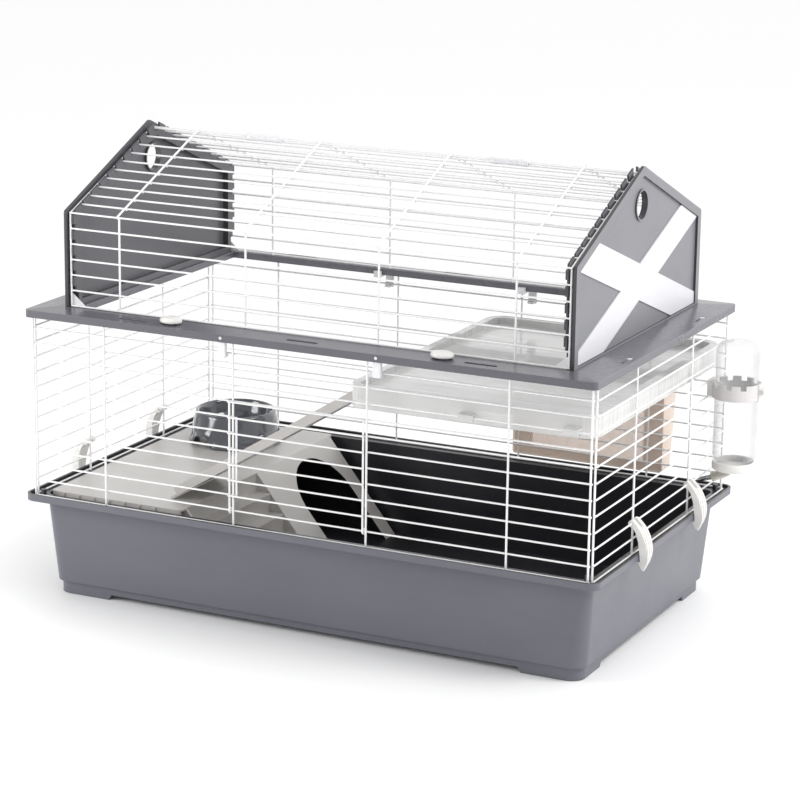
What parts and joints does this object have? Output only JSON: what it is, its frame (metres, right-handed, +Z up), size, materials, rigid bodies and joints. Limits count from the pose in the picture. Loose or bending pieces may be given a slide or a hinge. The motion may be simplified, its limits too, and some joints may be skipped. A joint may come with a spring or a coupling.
{
  "type": "rabbit cage",
  "caption": "Plastic tub with a clipped-on wire cage, a hinged wire barn roof between plastic gables, a hideout, ramp, platform, feeder, hay rack and bottle.",
  "frame": {"origin": "centre of the tub's footprint, on the surface its feet stand on", "axes": "+X to the right along the long side, -Y towards the front with the door, +Z up"},
  "size_m": [1.0422, 0.622, 0.7071],
  "materials": {
    "grey_plastic": "satin grey moulding, outside of the tub, frame and gables",
    "white_wire": "white coated wire",
    "white_plastic": "white moulding",
    "light_grey_plastic": "light grey moulding",
    "cream_plastic": "cream moulding",
    "bowl_plastic": "dark grey, glossy",
    "smoky_plastic": "smoky clear plastic",
    "clear_plastic": "clear plastic",
    "steel": "polished tube"
  },
  "bodies": {
    "cage": {"tub": "grey_plastic", "front_wire_panel": "white_wire", "rear_wire_panel": "white_wire", "left_wire_panel": "white_wire", "right_wire_panel": "white_wire", "front_rail": "grey_plastic", "rear_rail": "grey_plastic", "left_rail": "grey_plastic", "right_rail": "grey_plastic", "front_frame_hooks": "white_plastic", "rear_frame_hooks": "white_plastic", "left_gable": "grey_plastic", "right_gable": "grey_plastic", "left_gable_cross": "white_plastic", "right_gable_cross": "white_plastic", "ridge_clips": "white_plastic", "hideout": "light_grey_plastic", "ramp": "light_grey_plastic", "upper_platform": "light_grey_plastic"},
    "door": {"front_door": "white_wire"},
    "front_roof": {"front_roof_panel": "white_wire", "front_roof_corner_plates": "white_plastic"},
    "rear_roof": {"rear_roof_panel": "white_wire", "rear_roof_corner_plates": "white_plastic"},
    "left_latch": {"left_roof_latch": "cream_plastic"},
    "right_latch": {"right_roof_latch": "cream_plastic"},
    "left_front_claw": {"left_front_clip": "cream_plastic"},
    "left_rear_claw": {"left_rear_clip": "cream_plastic"},
    "right_front_claw": {"right_front_clip": "cream_plastic"},
    "right_rear_claw": {"right_rear_clip": "cream_plastic"},
    "bowl": {"feed_bowl": "bowl_plastic"},
    "rack": {"hay_rack": "smoky_plastic", "hay_rack_hooks": "white_plastic"},
    "bottle_set": {"bottle_holder": "light_grey_plastic", "water_bottle": "clear_plastic", "bottle_cap": "cream_plastic", "drinking_spout": "steel"}
  },
  "joints": [
    {"name": "door_hinge", "type": "hinge", "parent": "cage", "child": "door", "pos_m": [0, -0.271, 0.184], "axis": [1, 0, 0], "range_deg": [0, 120]},
    {"name": "front_roof_hinge", "type": "hinge", "parent": "cage", "child": "front_roof", "pos_m": [0, -0.0045, 0.696], "axis": [-1, 0, 0], "range_deg": [0, 100]},
    {"name": "rear_roof_hinge", "type": "hinge", "parent": "cage", "child": "rear_roof", "pos_m": [0, 0.0045, 0.696], "axis": [1, 0, 0], "range_deg": [0, 100]},
    {"name": "left_latch_turn", "type": "hinge", "parent": "cage", "child": "left_latch", "pos_m": [-0.222, -0.263, 0.456], "axis": [0, 0, 1], "range_deg": [0, 180]},
    {"name": "right_latch_turn", "type": "hinge", "parent": "cage", "child": "right_latch", "pos_m": [0.222, -0.263, 0.456], "axis": [0, 0, 1], "range_deg": [0, 180]},
    {"name": "left_front_claw_swing", "type": "hinge", "parent": "cage", "child": "left_front_claw", "pos_m": [-0.463, -0.113, 0.208], "axis": [0, 1, 0], "range_deg": [0, 90]},
    {"name": "left_rear_claw_swing", "type": "hinge", "parent": "cage", "child": "left_rear_claw", "pos_m": [-0.463, 0.113, 0.208], "axis": [0, 1, 0], "range_deg": [0, 90]},
    {"name": "right_front_claw_swing", "type": "hinge", "parent": "cage", "child": "right_front_claw", "pos_m": [0.463, -0.113, 0.208], "axis": [0, -1, 0], "range_deg": [0, 90]},
    {"name": "right_rear_claw_swing", "type": "hinge", "parent": "cage", "child": "right_rear_claw", "pos_m": [0.463, 0.113, 0.208], "axis": [0, -1, 0], "range_deg": [0, 90]},
    {"name": "bowl_lift", "type": "slide", "parent": "cage", "child": "bowl", "axis": [0, 0, 1], "range_m": [0, 0.2]},
    {"name": "rack_lift", "type": "slide", "parent": "cage", "child": "rack", "axis": [0, 0, 1], "range_m": [0, 0.015]},
    {"name": "bottle_set_pull", "type": "slide", "parent": "cage", "child": "bottle_set", "axis": [1, 0, 0], "range_m": [0, 0.08]}
  ]
}
